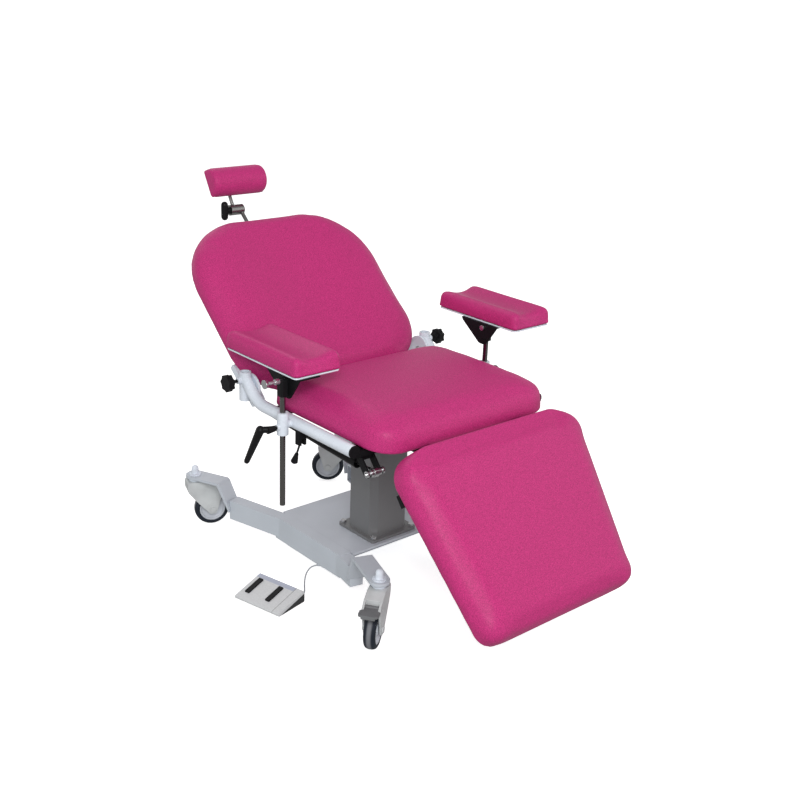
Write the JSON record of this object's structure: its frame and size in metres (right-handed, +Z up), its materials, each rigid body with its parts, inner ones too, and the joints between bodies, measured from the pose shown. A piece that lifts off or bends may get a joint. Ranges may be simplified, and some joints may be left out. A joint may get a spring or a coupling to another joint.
{
  "type": "electric EEG chair",
  "caption": "Padded clinic chair with a lifting column on castors, reclining backrest and leg rest, adjustable armrests, head cushion and foot switch.",
  "frame": {"origin": "on the floor, on the lift column's axis", "axes": "+Z up, +Y towards the backrest, -Y towards the feet, +X towards the patient's left hand"},
  "size_m": [0.8758, 1.3891, 0.9789],
  "materials": {
    "vinyl": "fine grained, satin",
    "frame_white": "smooth gloss powder coat",
    "base_grey": "smooth powder coat",
    "column_grey": "satin",
    "chrome": "polished",
    "steel": "zinc plated",
    "black_metal": "satin powder coat",
    "black_plastic": "fine texture",
    "castor_grey": "satin",
    "brake_grey": "satin",
    "tyre": "smooth",
    "cover_white": "glossy",
    "shell_grey": "satin",
    "lead": "matt"
  },
  "bodies": {
    "base": {"base_frame": "base_grey", "castor_straps": "base_grey", "castor_stems": "steel", "castor_caps": "cover_white", "control_box": "base_grey", "column_outer": "column_grey", "column_wiper": "black_plastic", "column_bolts": "steel", "lift_actuator": "steel", "pedal_base": "black_plastic", "pedal_shell": "shell_grey", "pedal_cord": "lead"},
    "seat": {"column_inner": "column_grey", "lift_rod": "chrome", "seat_frame": "black_metal", "side_tubes": "frame_white", "tube_caps": "black_plastic", "seat_brackets": "black_metal", "hinge_pins": "steel", "seat_pad": "vinyl"},
    "backrest": {"backrest_pad": "vinyl", "backrest_frame": "frame_white"},
    "leg_rest": {"leg_pad": "vinyl", "leg_frame": "black_metal"},
    "back_cylinder": {"back_spring_cylinder": "black_metal"},
    "back_rod": {"back_spring_rod": "chrome"},
    "leg_cylinder": {"leg_spring_cylinder": "black_metal"},
    "leg_rod": {"leg_spring_rod": "chrome"},
    "head_slider": {"head_bar": "chrome"},
    "head_knob": {"head_wing_knob": "black_plastic"},
    "head_rest": {"head_bracket": "chrome", "head_cushion": "vinyl"},
    "key_up": {"pedal_key_up": "black_plastic"},
    "key_down": {"pedal_key_down": "black_plastic"},
    "fork_rear_right": {"castor_fork_rear_right": "castor_grey"},
    "wheel_rear_right": {"castor_wheel_rear_right": "tyre"},
    "fork_rear_left": {"castor_fork_rear_left": "castor_grey"},
    "wheel_rear_left": {"castor_wheel_rear_left": "tyre"},
    "fork_front_right": {"castor_fork_front_right": "castor_grey"},
    "wheel_front_right": {"castor_wheel_front_right": "tyre"},
    "brake_front_right": {"castor_brake_front_right": "brake_grey"},
    "fork_front_left": {"castor_fork_front_left": "castor_grey"},
    "wheel_front_left": {"castor_wheel_front_left": "tyre"},
    "brake_front_left": {"castor_brake_front_left": "brake_grey"},
    "post_right": {"arm_post_right": "chrome"},
    "arm_swivel_right": {"arm_head_right": "chrome"},
    "armrest_right": {"arm_bracket_right": "black_metal", "arm_pad_right": "vinyl"},
    "tilt_screw_right": {"arm_screw_right": "steel"},
    "clamp_right": {"clamp_lever_right": "black_plastic"},
    "star_knob_right": {"socket_knob_right": "black_plastic"},
    "release_right": {"release_lever_right": "black_plastic"},
    "post_left": {"arm_post_left": "chrome"},
    "arm_swivel_left": {"arm_head_left": "chrome"},
    "armrest_left": {"arm_bracket_left": "black_metal", "arm_pad_left": "vinyl"},
    "tilt_screw_left": {"arm_screw_left": "steel"},
    "clamp_left": {"clamp_lever_left": "black_plastic"},
    "star_knob_left": {"socket_knob_left": "black_plastic"},
    "release_left": {"release_lever_left": "black_plastic"}
  },
  "joints": [
    {"name": "seat_lift", "type": "slide", "parent": "base", "child": "seat", "axis": [0, 0, 1], "range_m": [0, 0.22]},
    {"name": "backrest_recline", "type": "hinge", "parent": "seat", "child": "backrest", "pos_m": [0, 0.175, 0.516], "axis": [1, 0, 0], "range_deg": [-41, 0]},
    {"name": "leg_rest_lift", "type": "hinge", "parent": "seat", "child": "leg_rest", "pos_m": [0, -0.346, 0.486], "axis": [1, 0, 0], "range_deg": [-50, 20]},
    {"name": "back_cylinder_pivot", "type": "hinge", "parent": "backrest", "child": "back_cylinder", "pos_m": [-0.259, 0.192, 0.46686], "axis": [1, 0, 0], "range_deg": [-1, 43]},
    {"name": "back_rod_pivot", "type": "hinge", "parent": "seat", "child": "back_rod", "pos_m": [-0.259, -0.287, 0.441], "axis": [1, 0, 0], "range_deg": [-1, 1]},
    {"name": "leg_cylinder_pivot", "type": "hinge", "parent": "seat", "child": "leg_cylinder", "pos_m": [0.259, 0.03, 0.454], "axis": [1, 0, 0], "range_deg": [-2, 3]},
    {"name": "leg_rod_pivot", "type": "hinge", "parent": "leg_rest", "child": "leg_rod", "pos_m": [0.259, -0.319, 0.45383], "axis": [1, 0, 0], "range_deg": [-22, 54]},
    {"name": "head_slide", "type": "slide", "parent": "backrest", "child": "head_slider", "axis": [0, 0.7466, 0.6652], "range_m": [-0.02, 0.1]},
    {"name": "head_tilt", "type": "hinge", "parent": "head_slider", "child": "head_rest", "pos_m": [0, 0.64954, 0.85978], "axis": [1, 0, 0], "range_deg": [-30, 40]},
    {"name": "head_knob_turn", "type": "hinge", "parent": "head_slider", "child": "head_knob", "pos_m": [0, 0.64954, 0.85978], "axis": [1, 0, 0], "continuous": true},
    {"name": "swivel_rear_right", "type": "hinge", "parent": "base", "child": "fork_rear_right", "pos_m": [-0.266, 0.49, 0.13], "axis": [0, 0, 1], "continuous": true},
    {"name": "roll_rear_right", "type": "hinge", "parent": "fork_rear_right", "child": "wheel_rear_right", "pos_m": [-0.22371, 0.47461, 0.05], "axis": [0.342, 0.9397, 0], "continuous": true},
    {"name": "swivel_rear_left", "type": "hinge", "parent": "base", "child": "fork_rear_left", "pos_m": [0.266, 0.49, 0.13], "axis": [0, 0, 1], "continuous": true},
    {"name": "roll_rear_left", "type": "hinge", "parent": "fork_rear_left", "child": "wheel_rear_left", "pos_m": [0.22959, 0.51645, 0.05], "axis": [-0.5878, -0.809, 0], "continuous": true},
    {"name": "swivel_front_right", "type": "hinge", "parent": "base", "child": "fork_front_right", "pos_m": [-0.236, -0.29, 0.13], "axis": [0, 0, 1], "continuous": true},
    {"name": "roll_front_right", "type": "hinge", "parent": "fork_front_right", "child": "wheel_front_right", "pos_m": [-0.27241, -0.31645, 0.05], "axis": [0.5878, -0.809, 0], "continuous": true},
    {"name": "press_front_right", "type": "hinge", "parent": "fork_front_right", "child": "brake_front_right", "pos_m": [-0.28697, -0.32703, 0.115], "axis": [0.5878, -0.809, 0], "range_deg": [0, 14]},
    {"name": "swivel_front_left", "type": "hinge", "parent": "base", "child": "fork_front_left", "pos_m": [0.236, -0.29, 0.13], "axis": [0, 0, 1], "continuous": true},
    {"name": "roll_front_left", "type": "hinge", "parent": "fork_front_left", "child": "wheel_front_left", "pos_m": [0.2585, -0.32897, 0.05], "axis": [0.866, 0.5, 0], "continuous": true},
    {"name": "press_front_left", "type": "hinge", "parent": "fork_front_left", "child": "brake_front_left", "pos_m": [0.2675, -0.34456, 0.115], "axis": [0.866, 0.5, 0], "range_deg": [0, 14]},
    {"name": "arm_height_right", "type": "slide", "parent": "seat", "child": "post_right", "axis": [0, 0, 1], "range_m": [0, 0.15]},
    {"name": "arm_swing_right", "type": "hinge", "parent": "post_right", "child": "arm_swivel_right", "pos_m": [-0.337, -0.035, 0.574], "axis": [0, 0, 1], "range_deg": [-75, 0]},
    {"name": "arm_tilt_right", "type": "hinge", "parent": "arm_swivel_right", "child": "armrest_right", "pos_m": [-0.337, -0.035, 0.606], "axis": [1, 0, 0], "range_deg": [0, 20]},
    {"name": "tilt_screw_turn_right", "type": "hinge", "parent": "arm_swivel_right", "child": "tilt_screw_right", "pos_m": [-0.337, -0.035, 0.606], "axis": [1, 0, 0], "continuous": true},
    {"name": "clamp_turn_right", "type": "hinge", "parent": "seat", "child": "clamp_right", "pos_m": [-0.337, -0.035, 0.49], "axis": [1, 0, 0], "range_deg": [-60, 60]},
    {"name": "star_knob_turn_right", "type": "hinge", "parent": "seat", "child": "star_knob_right", "pos_m": [-0.33, 0.175, 0.541], "axis": [1, 0, 0], "continuous": true},
    {"name": "release_pull_right", "type": "hinge", "parent": "seat", "child": "release_right", "pos_m": [-0.303, -0.062, 0.453], "axis": [1, 0, 0], "range_deg": [0, 18], "stiffness_Nm_per_rad": 0.06},
    {"name": "arm_height_left", "type": "slide", "parent": "seat", "child": "post_left", "axis": [0, 0, 1], "range_m": [-0.03, 0.15]},
    {"name": "arm_swing_left", "type": "hinge", "parent": "post_left", "child": "arm_swivel_left", "pos_m": [0.337, -0.035, 0.592], "axis": [0, 0, 1], "range_deg": [-60, 60]},
    {"name": "arm_tilt_left", "type": "hinge", "parent": "arm_swivel_left", "child": "armrest_left", "pos_m": [0.337, -0.035, 0.624], "axis": [1, 0, 0], "range_deg": [-12, 20]},
    {"name": "tilt_screw_turn_left", "type": "hinge", "parent": "arm_swivel_left", "child": "tilt_screw_left", "pos_m": [0.337, -0.035, 0.624], "axis": [1, 0, 0], "continuous": true},
    {"name": "clamp_turn_left", "type": "hinge", "parent": "seat", "child": "clamp_left", "pos_m": [0.337, -0.035, 0.49], "axis": [1, 0, 0], "range_deg": [-60, 60]},
    {"name": "star_knob_turn_left", "type": "hinge", "parent": "seat", "child": "star_knob_left", "pos_m": [0.33, 0.175, 0.541], "axis": [1, 0, 0], "continuous": true},
    {"name": "release_pull_left", "type": "hinge", "parent": "seat", "child": "release_left", "pos_m": [0.303, -0.062, 0.453], "axis": [1, 0, 0], "range_deg": [0, 18], "stiffness_Nm_per_rad": 0.06},
    {"name": "key_press_up", "type": "slide", "parent": "base", "child": "key_up", "axis": [-0.2312, -0.0559, 0.9713], "range_m": [-0.003, 0], "stiffness_N_per_m": 400},
    {"name": "key_press_down", "type": "slide", "parent": "base", "child": "key_down", "axis": [-0.2312, -0.0559, 0.9713], "range_m": [-0.003, 0], "stiffness_N_per_m": 400}
  ],
  "couplings": [
    {"joint": "back_cylinder_pivot", "follows": "backrest_recline", "ratio": -1.0093},
    {"joint": "back_rod_pivot", "follows": "backrest_recline", "ratio": -0.0093},
    {"joint": "leg_cylinder_pivot", "follows": "leg_rest_lift", "ratio": -0.045},
    {"joint": "leg_rod_pivot", "follows": "leg_rest_lift", "ratio": -1.045}
  ]
}
